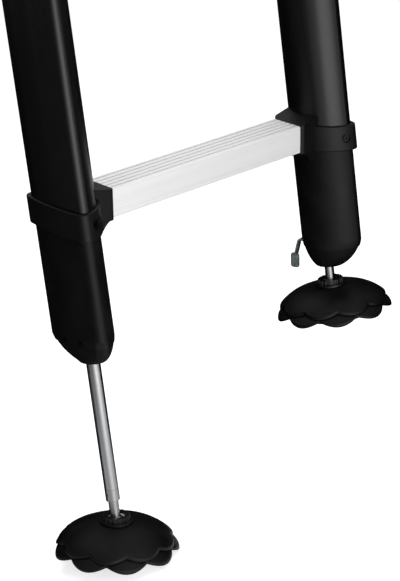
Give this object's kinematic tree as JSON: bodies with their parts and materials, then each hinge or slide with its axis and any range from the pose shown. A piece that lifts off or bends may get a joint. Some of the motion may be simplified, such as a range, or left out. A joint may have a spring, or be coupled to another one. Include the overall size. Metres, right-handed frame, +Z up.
{
  "type": "ladder base with levelling feet",
  "caption": "Lower end of a ladder: half-round stiles joined by a grooved rung, each with a sliding steel leg, a rod lock with a finger tab and a tilting rubber foot with a petalled rim.",
  "frame": {"origin": "midway between the two open stile ends, at their top edge", "axes": "+Z up the stiles, +X along the rung to the side whose leg is drawn in, -Y towards the climber"},
  "size_m": [0.5139, 0.1456, 0.7092],
  "materials": {
    "stile": "gloss black",
    "rung": "brushed",
    "moulding": "satin black",
    "nose": "grained black",
    "bush": "plain",
    "screw": "blackened",
    "spring": "plain",
    "lever": "zinc plated",
    "rod": "bright drawn",
    "socket": "black",
    "rubber": "matte black"
  },
  "bodies": {
    "frame": {"rung": "rung", "stile_tube_left": "stile", "rung_collar_left": "moulding", "collar_screws_left": "screw", "leg_housing_left": "moulding", "nose_cap_left": "nose", "nose_screws_left": "screw", "upper_bush_left": "bush", "lower_bush_left": "bush", "lock_pin_left": "screw", "lock_spring_left": "spring", "stile_tube_right": "stile", "rung_collar_right": "moulding", "collar_screws_right": "screw", "leg_housing_right": "moulding", "nose_cap_right": "nose", "nose_screws_right": "screw", "upper_bush_right": "bush", "lower_bush_right": "bush", "lock_pin_right": "screw", "lock_spring_right": "spring"},
    "leg_left": {"leg_rod_left": "rod", "rod_stop_left": "bush", "rod_ferrule_left": "rod", "cross_pin_left": "rod", "ball_stud_left": "rod"},
    "liner_left": {"socket_liner_left": "bush"},
    "socket_left": {"socket_collar_left": "socket", "socket_base_left": "socket"},
    "pad_left": {"pad_dome_left": "rubber", "pad_skirt_left": "rubber", "pad_sole_left": "rubber"},
    "lock_left": {"lock_plate_left": "lever"},
    "leg_right": {"leg_rod_right": "rod", "rod_stop_right": "bush", "rod_ferrule_right": "rod", "cross_pin_right": "rod", "ball_stud_right": "rod"},
    "liner_right": {"socket_liner_right": "bush"},
    "socket_right": {"socket_collar_right": "socket", "socket_base_right": "socket"},
    "pad_right": {"pad_dome_right": "rubber", "pad_skirt_right": "rubber", "pad_sole_right": "rubber"},
    "lock_right": {"lock_plate_right": "lever"}
  },
  "joints": [
    {"name": "leg_slide_left", "type": "slide", "parent": "frame", "child": "leg_left", "axis": [0, 0, -1], "range_m": [-0.1628, 0.0172]},
    {"name": "foot_tilt_side_left", "type": "hinge", "parent": "leg_left", "child": "liner_left", "pos_m": [-0.185, 0, -0.66921], "axis": [1, 0, 0], "range_deg": [-19.3, 10.7]},
    {"name": "foot_tilt_front_left", "type": "hinge", "parent": "liner_left", "child": "socket_left", "pos_m": [-0.185, 0, -0.66921], "axis": [0, 0.9972, 0.075], "range_deg": [-20.6, 9.4]},
    {"name": "foot_swivel_left", "type": "hinge", "parent": "socket_left", "child": "pad_left", "pos_m": [-0.185, 0, -0.66921], "axis": [0.0976, -0.0746, 0.9924], "continuous": true},
    {"name": "lock_lever_left", "type": "hinge", "parent": "frame", "child": "lock_left", "pos_m": [-0.19032, -0.02135, -0.45611], "axis": [0.9703, -0.2419, 0], "range_deg": [-6, 0], "stiffness_Nm_per_rad": 1, "springref_deg": 8.59, "deforming": ["lock_spring_left"]},
    {"name": "leg_slide_right", "type": "slide", "parent": "frame", "child": "leg_right", "axis": [0, 0, -1], "range_m": [0, 0.18]},
    {"name": "foot_tilt_side_right", "type": "hinge", "parent": "leg_right", "child": "liner_right", "pos_m": [0.185, 0, -0.5064], "axis": [1, 0, 0], "range_deg": [-14, 16]},
    {"name": "foot_tilt_front_right", "type": "hinge", "parent": "liner_right", "child": "socket_right", "pos_m": [0.185, 0, -0.5064], "axis": [0, 0.9998, -0.0175], "range_deg": [-13.6, 16.4]},
    {"name": "foot_swivel_right", "type": "hinge", "parent": "socket_right", "child": "pad_right", "pos_m": [0.185, 0, -0.5064], "axis": [-0.0244, 0.0174, 0.9995], "continuous": true},
    {"name": "lock_lever_right", "type": "hinge", "parent": "frame", "child": "lock_right", "pos_m": [0.19032, -0.02135, -0.45611], "axis": [0.9703, 0.2419, 0], "range_deg": [-6, 0], "stiffness_Nm_per_rad": 1, "springref_deg": 8.59, "deforming": ["lock_spring_right"]}
  ]
}
